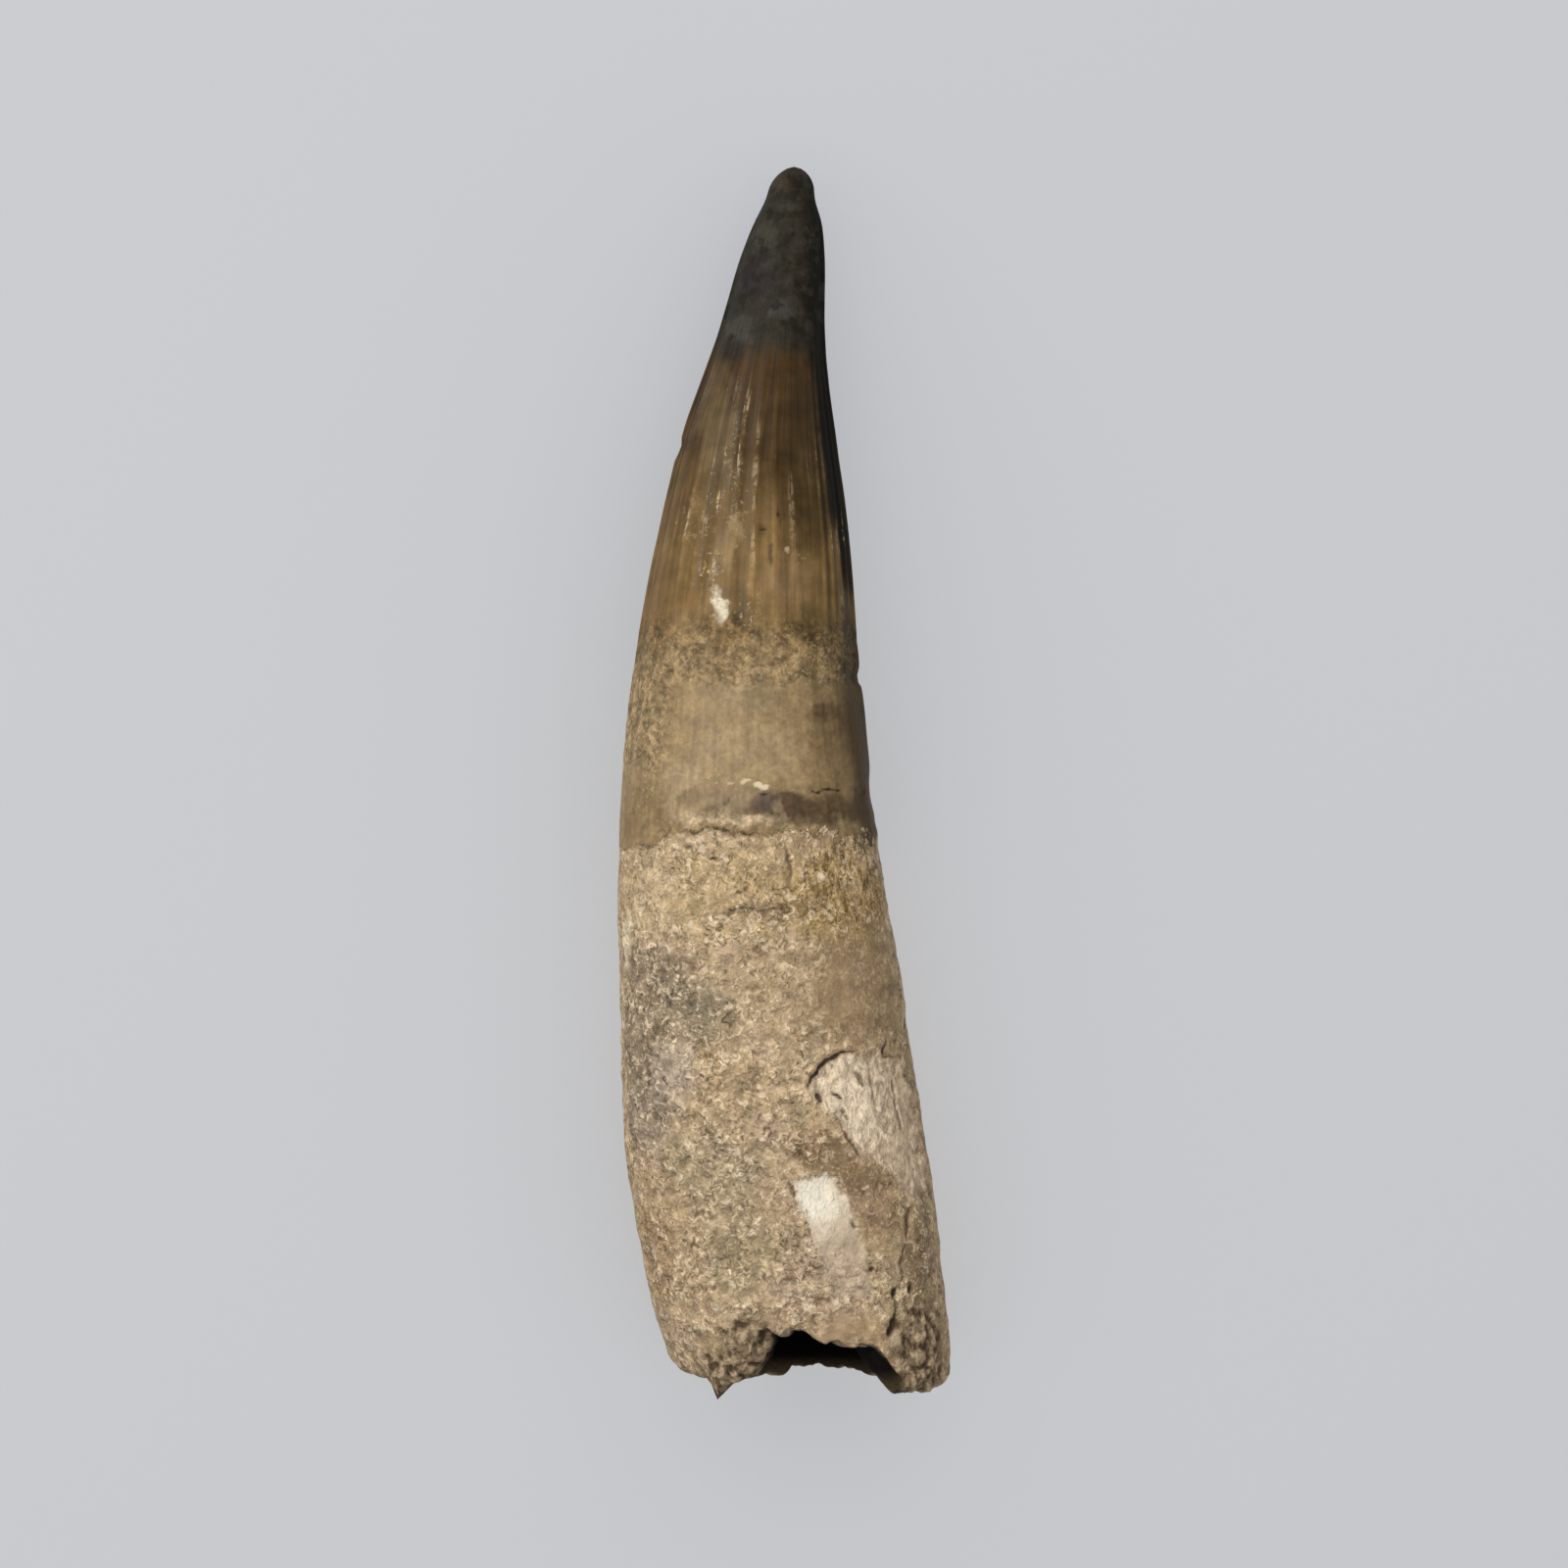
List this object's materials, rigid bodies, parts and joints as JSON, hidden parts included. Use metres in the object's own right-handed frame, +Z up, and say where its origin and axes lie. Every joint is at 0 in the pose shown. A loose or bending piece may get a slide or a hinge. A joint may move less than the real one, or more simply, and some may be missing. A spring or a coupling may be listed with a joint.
{
  "type": "fossil dinosaur tooth",
  "caption": "Long, slightly curved conical fossil tooth with fine lengthwise flutes on a dark-tipped crown, a sandy root and an open, broken pulp cavity, lying on its side.",
  "frame": {"origin": "on the surface that the tooth lies on, under the middle of its box", "axes": "+Y from the broken root towards the tip, +Z up, +X to the right seen from above with the tip away"},
  "size_m": [0.0326, 0.1208, 0.022],
  "materials": {
    "fossil": "mineralised tooth: satin enamel on the crown, dry and sandy on the root"
  },
  "bodies": {
    "root": {"tooth": "fossil"}
  },
  "joints": []
}
